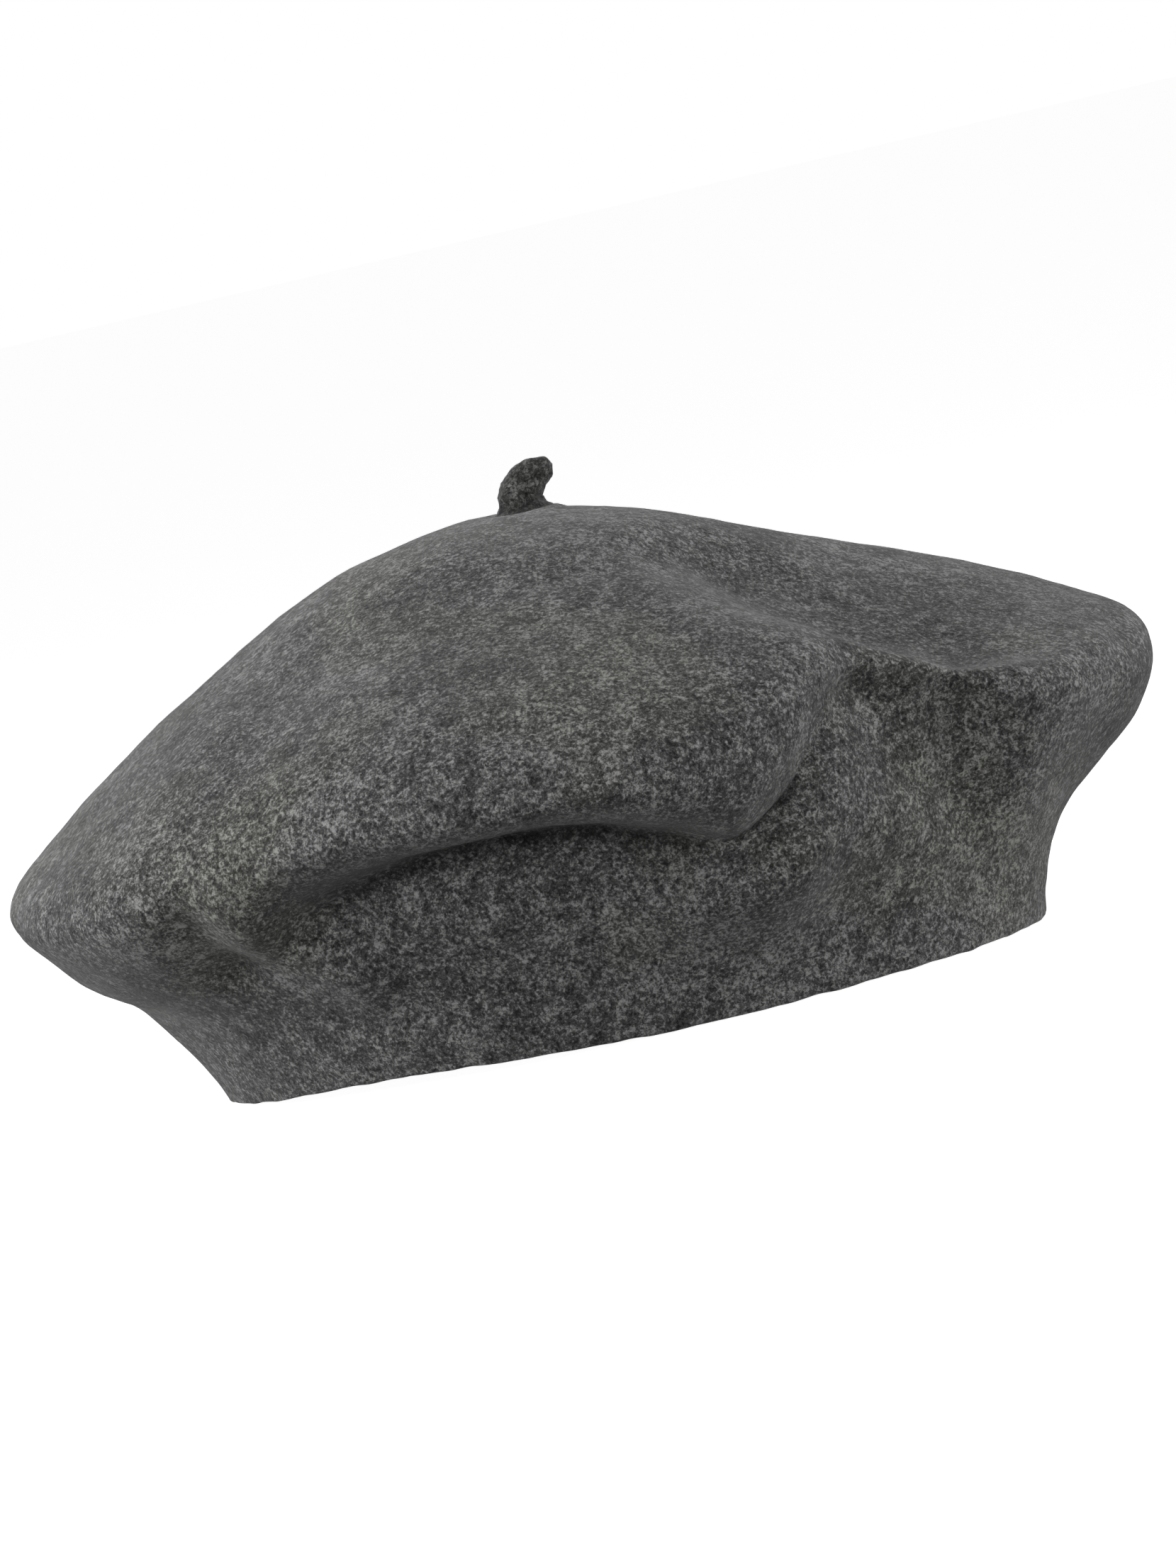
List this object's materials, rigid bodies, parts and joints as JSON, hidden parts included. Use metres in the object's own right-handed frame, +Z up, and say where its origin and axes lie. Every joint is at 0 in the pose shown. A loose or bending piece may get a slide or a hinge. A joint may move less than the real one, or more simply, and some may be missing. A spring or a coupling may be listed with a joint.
{
  "type": "beret",
  "caption": "Soft wool-felt beret with a wide round bag, turned-in hem, curled felt stem, leather sweatband and satin lining.",
  "frame": {"origin": "middle of the head opening, on the plane that the fold of the hem rests on", "axes": "+Z up along the crown, towards the stem; +X towards the wearer's forehead; +Y towards the wearer's left"},
  "size_m": [0.285, 0.274, 0.1358],
  "materials": {
    "felt": "matt heather-grey wool felt",
    "felt_stem": "matt wool felt, denser and darker",
    "sweatband_leather": "satin dark brown",
    "lining_satin": "satin charcoal",
    "ribbon": "ribbed black",
    "label_tape": "woven off-white",
    "thread": "twisted cotton"
  },
  "bodies": {
    "crown": {"felt_crown": "felt", "stem_knot": "felt_stem", "sweatband": "sweatband_leather", "sweatband_stitches": "thread", "bow_loops": "ribbon", "bow_knot": "ribbon", "lining_side": "lining_satin", "lining_top": "lining_satin", "lining_stitches": "thread", "label_margin": "label_tape", "label_stitches": "thread"},
    "stem": {"stem": "felt_stem"},
    "label": {"label_flap": "label_tape"}
  },
  "joints": [
    {"name": "stem_bend", "type": "hinge", "parent": "crown", "child": "stem", "pos_m": [0, 0, 0.1291], "axis": [0, 1, 0], "range_deg": [-60, 25], "stiffness_Nm_per_rad": 0.002},
    {"name": "label_swing", "type": "hinge", "parent": "crown", "child": "label", "pos_m": [0, 0.07817, 0.0249], "axis": [-1, 0, 0], "range_deg": [0, 150]}
  ]
}
